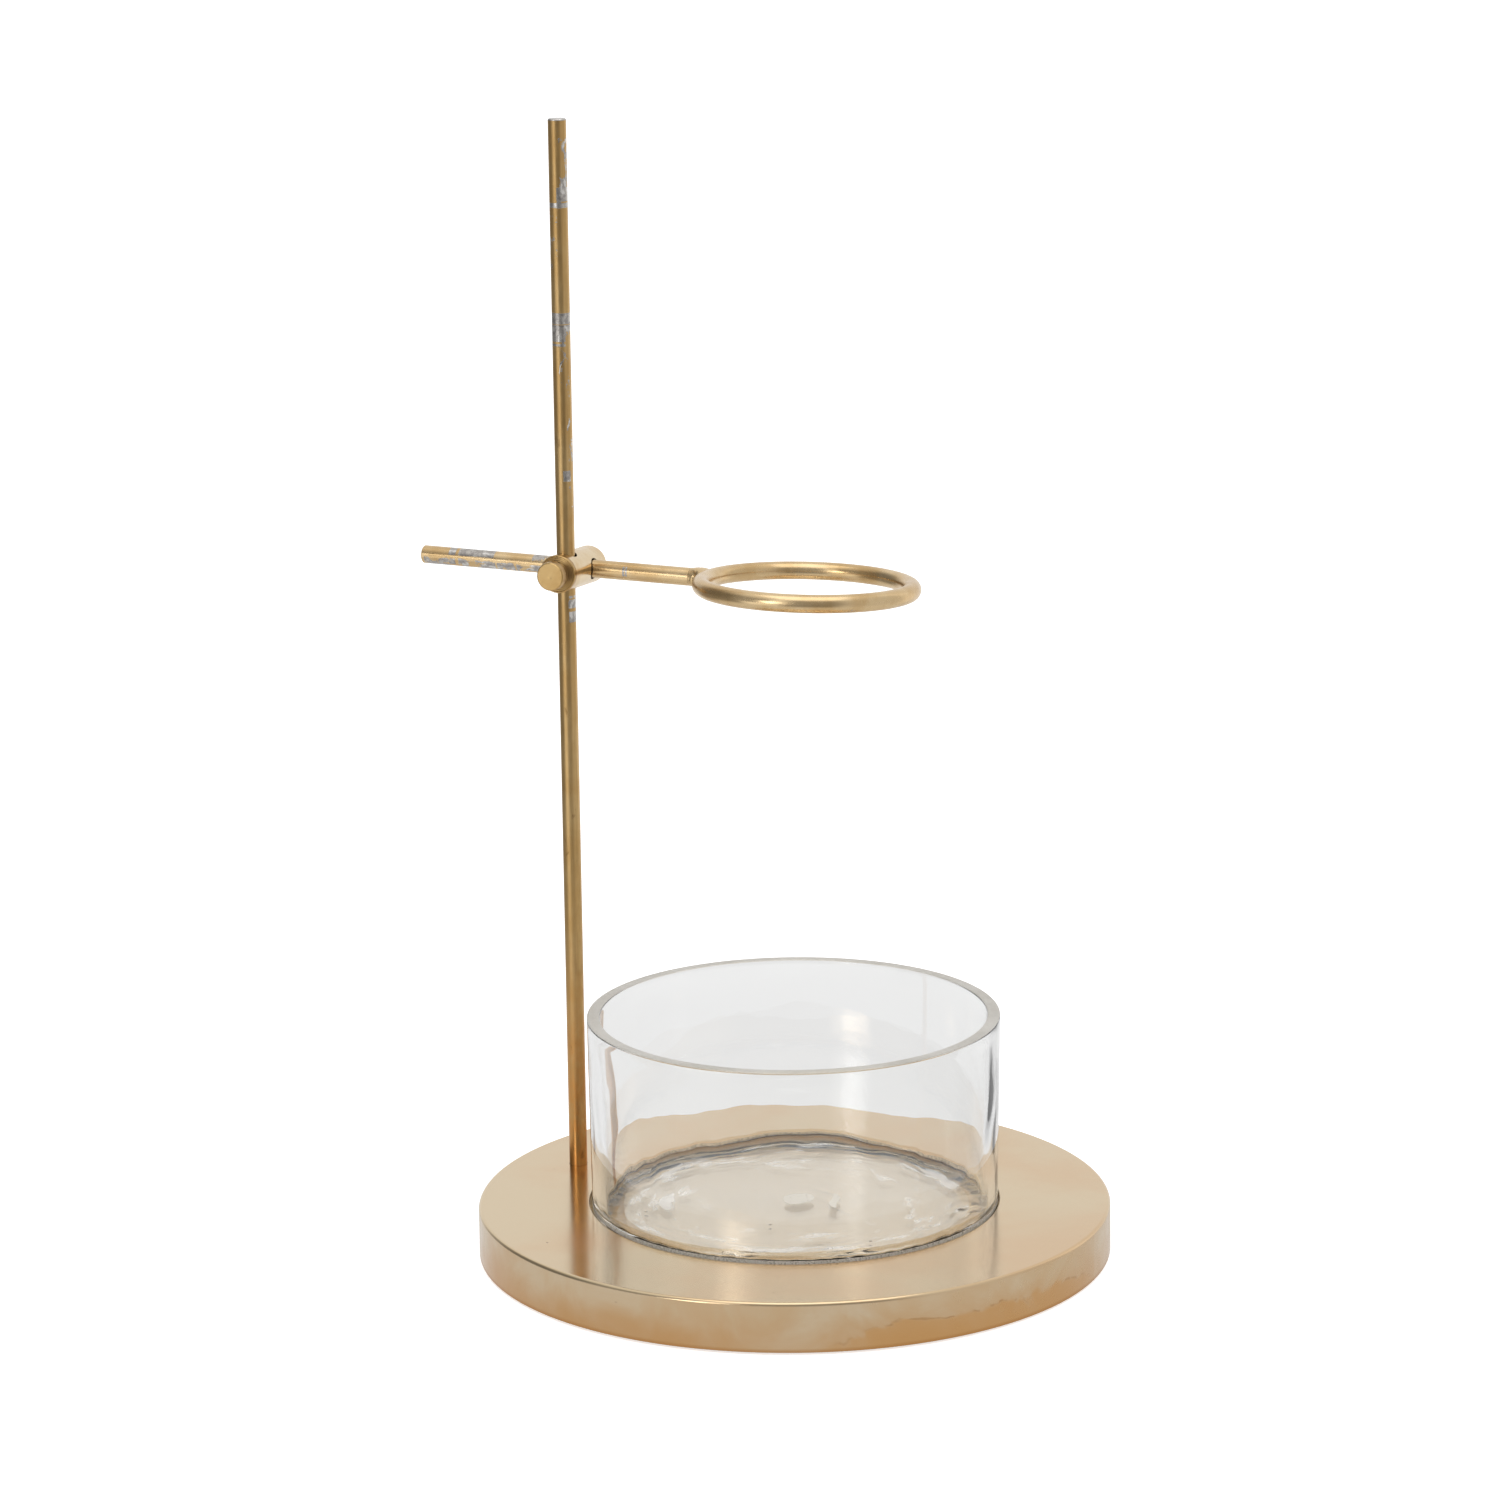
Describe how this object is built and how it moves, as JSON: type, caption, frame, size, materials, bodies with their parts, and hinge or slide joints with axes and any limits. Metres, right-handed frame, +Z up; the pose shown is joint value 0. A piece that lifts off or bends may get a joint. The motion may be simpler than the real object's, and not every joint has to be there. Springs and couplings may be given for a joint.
{
  "type": "retort stand",
  "caption": "Retort stand with a round weighted base holding a glass dish in a shallow well, an upright rod, and a cross clamp with a thumb screw carrying a support ring on a sliding arm.",
  "frame": {"origin": "centre of the round base's underside, on the surface that it stands on", "axes": "+Z up along the rod; +X along the arm, from the rod towards the ring; -Y faces the clamp's thumb screw"},
  "size_m": [0.2427, 0.2086, 0.3695],
  "materials": {
    "base_brass": "satin champagne brass plating",
    "aged_brass": "antique brass plating, worn through in patches",
    "satin_brass": "satin brass plating",
    "zinc_steel": "zinc plated",
    "cast_iron": "rough cast",
    "felt": "dark felt",
    "dish_glass": "clear hand-made glass"
  },
  "bodies": {
    "base": {"base_shell": "base_brass", "recess_cup": "base_brass", "ballast_disc": "cast_iron", "bottom_plate": "zinc_steel", "bottom_screws": "zinc_steel", "base_felt": "felt", "rod_socket": "zinc_steel"},
    "upright": {"rod_washer": "zinc_steel", "rod_lock_nut": "zinc_steel", "upright_rod": "aged_brass"},
    "clamp": {"clamp_body": "satin_brass", "clamp_collar": "satin_brass", "spacer_slug": "zinc_steel"},
    "screw_tip": {"pressure_tip": "zinc_steel"},
    "screw": {"thumb_screw": "satin_brass"},
    "arm": {"support_arm": "aged_brass"},
    "ring": {"ring_weld": "aged_brass", "support_ring": "aged_brass"},
    "dish": {"glass_dish": "dish_glass"}
  },
  "joints": [
    {"name": "rod_swing", "type": "hinge", "parent": "base", "child": "upright", "pos_m": [-0.0818, 0.0079, 0], "axis": [0, 0, 1], "continuous": true},
    {"name": "clamp_height", "type": "slide", "parent": "upright", "child": "clamp", "axis": [0, 0, 1], "range_m": [-0.097, 0.138]},
    {"name": "arm_reach", "type": "slide", "parent": "clamp", "child": "arm", "axis": [0.9999, 0, -0.0157], "range_m": [-0.032, 0.044]},
    {"name": "ring_tilt", "type": "hinge", "parent": "arm", "child": "ring", "pos_m": [-0.08181, 0.01789, 0.22039], "axis": [0.9999, 0, -0.0157], "range_deg": [-45, 45]},
    {"name": "screw_turn", "type": "hinge", "parent": "screw_tip", "child": "screw", "pos_m": [-0.08179, 0.00091, 0.22125], "axis": [0.0008, -0.9987, 0.0506], "range_deg": [0, 720.01]},
    {"name": "screw_travel", "type": "slide", "parent": "clamp", "child": "screw_tip", "axis": [0.0008, -0.9987, 0.0506], "range_m": [0, 0.0014]},
    {"name": "dish_lift", "type": "slide", "parent": "base", "child": "dish", "axis": [0, 0, 1], "range_m": [0, 0.012]}
  ],
  "couplings": [
    {"joint": "screw_turn", "follows": "screw_travel", "rad_per_m": 8976}
  ]
}
